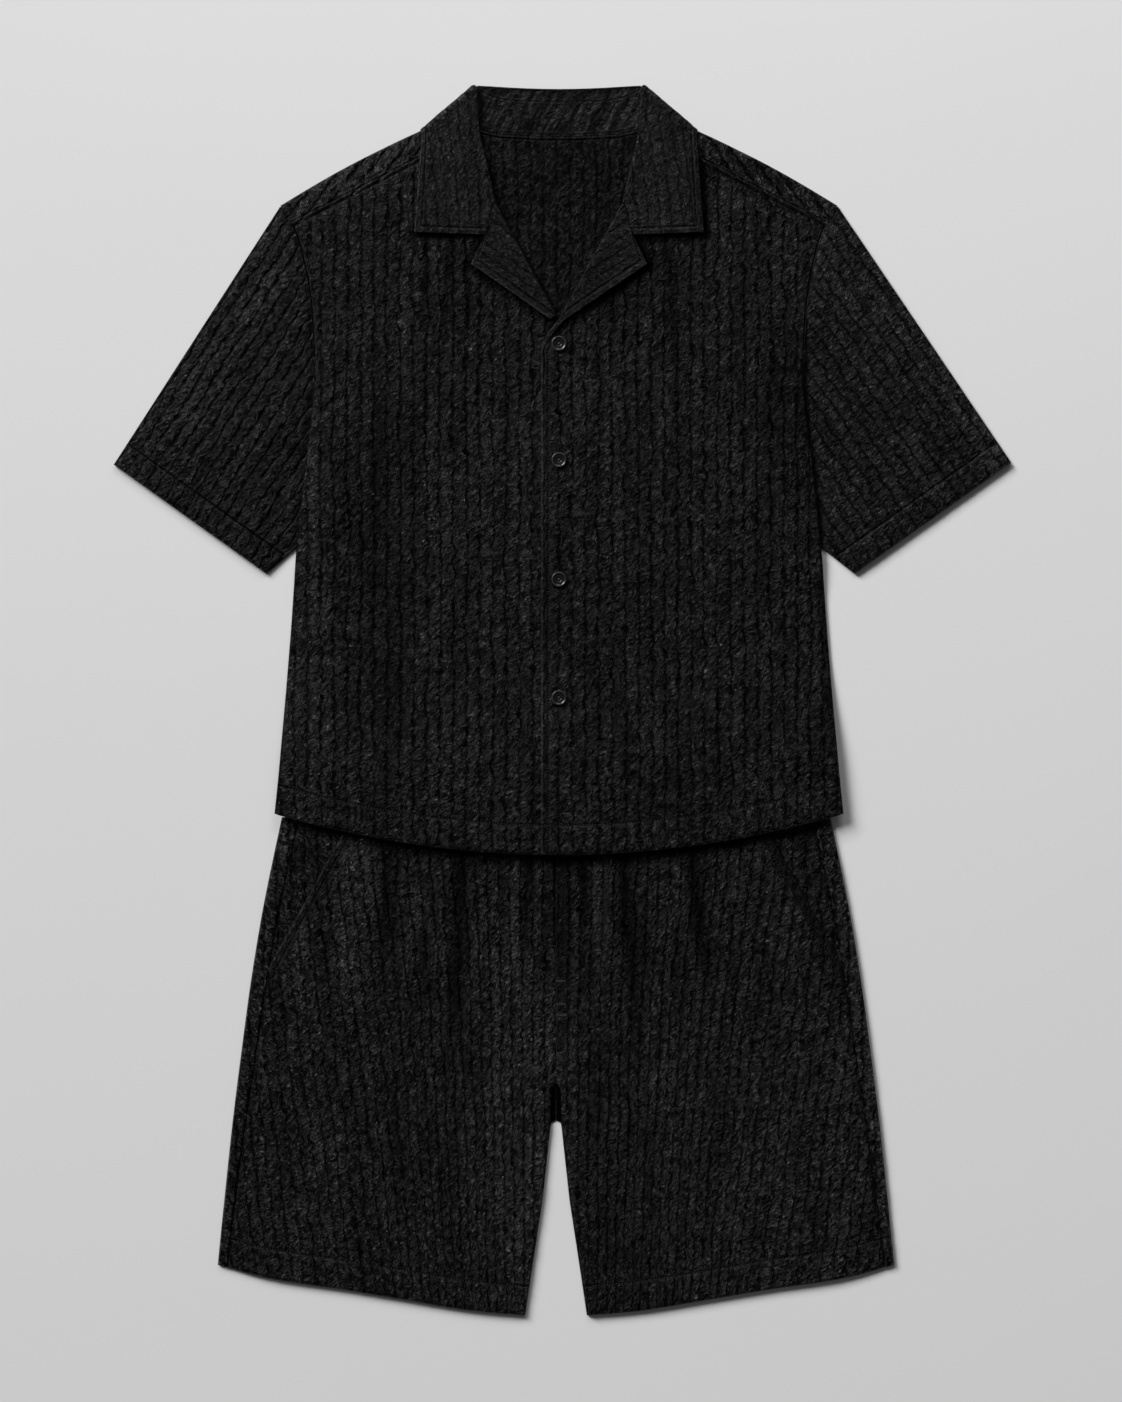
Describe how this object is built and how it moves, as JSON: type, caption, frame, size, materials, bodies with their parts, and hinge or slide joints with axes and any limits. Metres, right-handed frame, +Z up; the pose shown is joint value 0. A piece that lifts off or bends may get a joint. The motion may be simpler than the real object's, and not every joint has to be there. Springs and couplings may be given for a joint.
{
  "type": "shirt and shorts set",
  "caption": "Short-sleeved open-collar button shirt laid over the waist of matching shorts, in black crinkled rib cloth, flat and face up.",
  "frame": {"origin": "under the middle of the laid-out set, on the plane it lies on", "axes": "+Y runs up the set towards the collar, +X towards the wearer's left sleeve, +Z up out of the cloth"},
  "size_m": [0.8968, 1.2285, 0.0186],
  "materials": {
    "rib_cloth": "matt black crinkled rib",
    "button": "polished black, horn-like"
  },
  "bodies": {
    "root": {"shirt_back": "rib_cloth", "shirt_front_right": "rib_cloth", "shirt_front_left": "rib_cloth", "sleeve_right": "rib_cloth", "sleeve_left": "rib_cloth", "collar": "rib_cloth", "lapel_right": "rib_cloth", "lapel_left": "rib_cloth", "shorts_front_right": "rib_cloth", "shorts_front_left": "rib_cloth", "shorts_back_right": "rib_cloth", "shorts_back_left": "rib_cloth", "pocket_facing_right": "rib_cloth", "pocket_facing_left": "rib_cloth", "waistband": "rib_cloth", "button_1": "button", "button_2": "button", "button_3": "button", "button_4": "button"}
  },
  "joints": []
}
